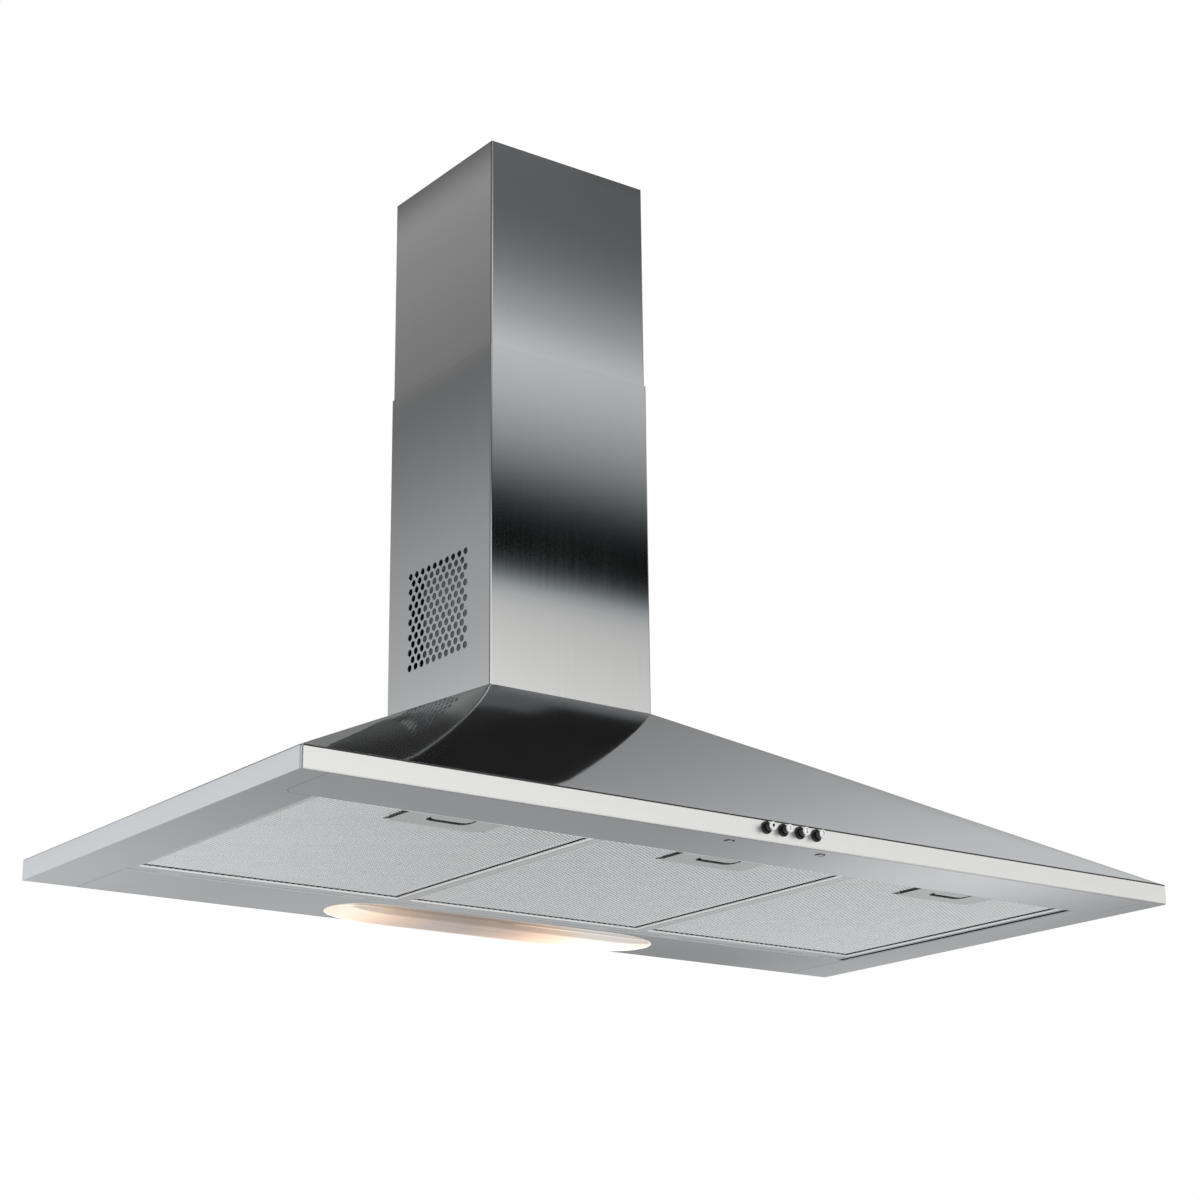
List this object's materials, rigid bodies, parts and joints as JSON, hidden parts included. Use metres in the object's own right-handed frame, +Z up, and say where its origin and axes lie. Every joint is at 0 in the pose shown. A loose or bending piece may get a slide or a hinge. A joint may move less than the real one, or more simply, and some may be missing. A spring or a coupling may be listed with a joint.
{
  "type": "chimney range hood",
  "caption": "Wall-mounted pyramid range hood with telescopic chimney, side grilles, drop-down grease filters, push buttons, lamp cover, blower and duct collar with flaps.",
  "frame": {"origin": "on the outer face of the canopy's rear wall, midway between its two hanging holes, 120 mm above the underside", "axes": "+X along the front to the right seen from the front, +Y into the wall, +Z up"},
  "size_m": [0.9, 0.4795, 0.7413],
  "materials": {
    "canopy_steel": "satin brushed stainless",
    "chimney_steel": "vertical brushed stainless",
    "fascia_steel": "light satin stainless",
    "galvanised_steel": "zinc plated",
    "filter_aluminium": "satin",
    "filter_mesh": "expanded foil",
    "chrome": "polished",
    "black_plastic": "semi-gloss",
    "grey_plastic": "matt moulded",
    "white_plastic": "matt moulded",
    "lamp_cover": "translucent moulded",
    "bulb_glass": "frosted"
  },
  "bodies": {
    "root": {"canopy_shell": "canopy_steel", "hanger_left": "galvanised_steel", "hanger_right": "galvanised_steel", "front_fascia": "fascia_steel", "front_rail": "canopy_steel", "lamp_panel": "canopy_steel", "button_bezel_light": "black_plastic", "button_bezel_speed_1": "black_plastic", "button_bezel_speed_2": "black_plastic", "button_bezel_speed_3": "black_plastic", "switch_block": "black_plastic", "rail_screw_left": "galvanised_steel", "rail_screw_right": "galvanised_steel", "lamp_reflector": "filter_aluminium", "lamp_holder_left": "white_plastic", "bulb_left": "bulb_glass", "lamp_holder_right": "white_plastic", "bulb_right": "bulb_glass", "lower_chimney": "chimney_steel", "chimney_bracket": "galvanised_steel", "blower_casing_left": "grey_plastic", "blower_casing_right": "grey_plastic", "blower_hanger_left": "galvanised_steel", "blower_hanger_right": "galvanised_steel", "motor": "galvanised_steel", "bearing_rear": "chrome", "bearing_front": "chrome", "motor_spider": "galvanised_steel", "outlet_collar": "grey_plastic", "flap_pin": "chrome", "terminal_box": "grey_plastic", "terminal_cover": "grey_plastic", "cable_gland": "black_plastic", "motor_capacitor": "white_plastic"},
    "filter_left": {"filter_frame_left": "filter_aluminium", "filter_mesh_left": "filter_mesh", "filter_handle_left": "filter_aluminium"},
    "filter_centre": {"filter_frame_centre": "filter_aluminium", "filter_mesh_centre": "filter_mesh", "filter_handle_centre": "filter_aluminium"},
    "filter_right": {"filter_frame_right": "filter_aluminium", "filter_mesh_right": "filter_mesh", "filter_handle_right": "filter_aluminium"},
    "latch_left": {"filter_latch_left": "filter_aluminium"},
    "latch_centre": {"filter_latch_centre": "filter_aluminium"},
    "latch_right": {"filter_latch_right": "filter_aluminium"},
    "light_button": {"button_light": "black_plastic", "button_cap_light": "chrome"},
    "speed_1_button": {"button_speed_1": "black_plastic", "button_cap_speed_1": "chrome"},
    "speed_2_button": {"button_speed_2": "black_plastic", "button_cap_speed_2": "chrome"},
    "speed_3_button": {"button_speed_3": "black_plastic", "button_cap_speed_3": "chrome"},
    "upper_cover": {"upper_chimney": "chimney_steel"},
    "lamp_cover_body": {"lamp_cover": "lamp_cover"},
    "fan": {"fan_wheel": "black_plastic", "motor_shaft": "chrome"},
    "front_flap": {"flap_front": "grey_plastic"},
    "rear_flap": {"flap_rear": "grey_plastic"}
  },
  "joints": [
    {"name": "filter_left_tilt", "type": "hinge", "parent": "root", "child": "filter_left", "pos_m": [-0.2655, -0.0878, -0.1185], "axis": [1, 0, 0], "range_deg": [0, 60]},
    {"name": "filter_centre_tilt", "type": "hinge", "parent": "root", "child": "filter_centre", "pos_m": [0, -0.0878, -0.1185], "axis": [1, 0, 0], "range_deg": [0, 60]},
    {"name": "filter_right_tilt", "type": "hinge", "parent": "root", "child": "filter_right", "pos_m": [0.2655, -0.0878, -0.1185], "axis": [1, 0, 0], "range_deg": [0, 60]},
    {"name": "latch_left_pull", "type": "slide", "parent": "filter_left", "child": "latch_left", "axis": [0, 1, 0], "range_m": [0, 0.005], "stiffness_N_per_m": 300},
    {"name": "latch_centre_pull", "type": "slide", "parent": "filter_centre", "child": "latch_centre", "axis": [0, 1, 0], "range_m": [0, 0.005], "stiffness_N_per_m": 300},
    {"name": "latch_right_pull", "type": "slide", "parent": "filter_right", "child": "latch_right", "axis": [0, 1, 0], "range_m": [0, 0.005], "stiffness_N_per_m": 300},
    {"name": "light_press", "type": "slide", "parent": "root", "child": "light_button", "axis": [0, 1, 0], "range_m": [0, 0.0035], "stiffness_N_per_m": 500},
    {"name": "speed_1_press", "type": "slide", "parent": "root", "child": "speed_1_button", "axis": [0, 1, 0], "range_m": [0, 0.0035], "stiffness_N_per_m": 500},
    {"name": "speed_2_press", "type": "slide", "parent": "root", "child": "speed_2_button", "axis": [0, 1, 0], "range_m": [0, 0.0035], "stiffness_N_per_m": 500},
    {"name": "speed_3_press", "type": "slide", "parent": "root", "child": "speed_3_button", "axis": [0, 1, 0], "range_m": [0, 0.0035], "stiffness_N_per_m": 500},
    {"name": "upper_cover_slide", "type": "slide", "parent": "root", "child": "upper_cover", "axis": [0, 0, 1], "range_m": [-0.19, 0.08]},
    {"name": "lamp_cover_drop", "type": "hinge", "parent": "root", "child": "lamp_cover_body", "pos_m": [0.005, -0.012, -0.1203], "axis": [1, 0, 0], "range_deg": [0, 75]},
    {"name": "fan_spin", "type": "hinge", "parent": "root", "child": "fan", "pos_m": [0, -0.088, 0.012], "axis": [1, 0, 0], "continuous": true},
    {"name": "front_flap_lift", "type": "hinge", "parent": "root", "child": "front_flap", "pos_m": [0, -0.1, 0.2323], "axis": [-1, 0, 0], "range_deg": [0, 70]},
    {"name": "rear_flap_lift", "type": "hinge", "parent": "root", "child": "rear_flap", "pos_m": [0, -0.1, 0.2323], "axis": [1, 0, 0], "range_deg": [0, 70]}
  ]
}
